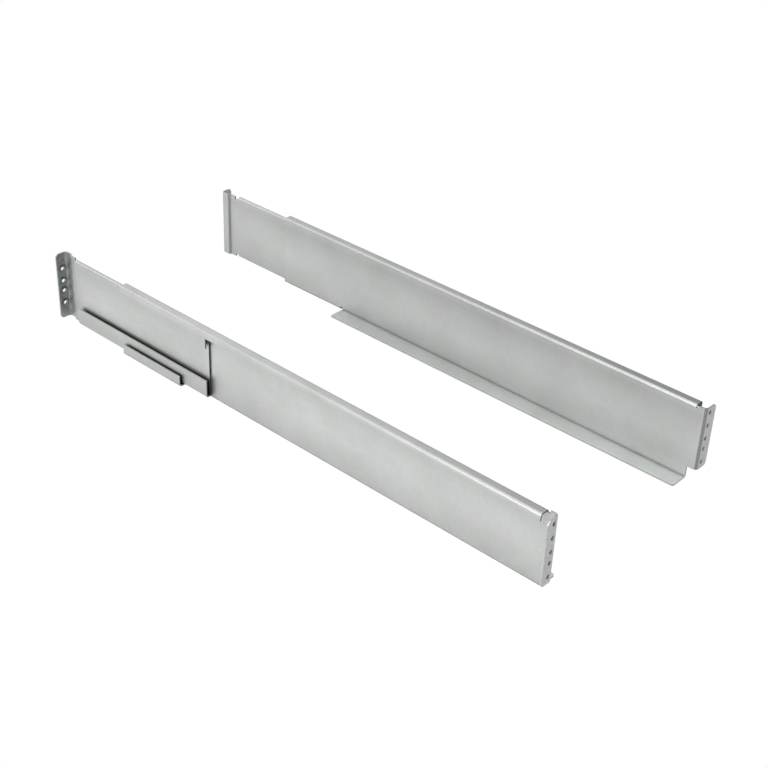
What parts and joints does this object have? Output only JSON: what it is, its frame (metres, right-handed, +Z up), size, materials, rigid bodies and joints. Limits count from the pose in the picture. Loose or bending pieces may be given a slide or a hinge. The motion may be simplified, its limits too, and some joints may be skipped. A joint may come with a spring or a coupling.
{
  "type": "adjustable rack rail pair",
  "caption": "Pair of two-unit bent-steel rack rails with support shelves, flat mounting ears and rear extensions that telescope to set the depth.",
  "frame": {"origin": "centre of the footprint of the pair, at the underside of the shelves and hooks", "axes": "+X towards the front of the rack, along the rails; +Y towards the right-hand rail as seen from the front; +Z up"},
  "size_m": [0.719, 0.28, 0.0889],
  "materials": {
    "zinc_plated_steel": "satin"
  },
  "bodies": {
    "front_rails": {"left_front_rail": "zinc_plated_steel", "right_front_rail": "zinc_plated_steel"},
    "left_extension": {"left_rear_extension": "zinc_plated_steel"},
    "right_extension": {"right_rear_extension": "zinc_plated_steel"}
  },
  "joints": [
    {"name": "left_extension_slide", "type": "slide", "parent": "front_rails", "child": "left_extension", "axis": [-1, 0, 0], "range_m": [-0.095, 0.07]},
    {"name": "right_extension_slide", "type": "slide", "parent": "front_rails", "child": "right_extension", "axis": [-1, 0, 0], "range_m": [-0.095, 0.07]}
  ]
}
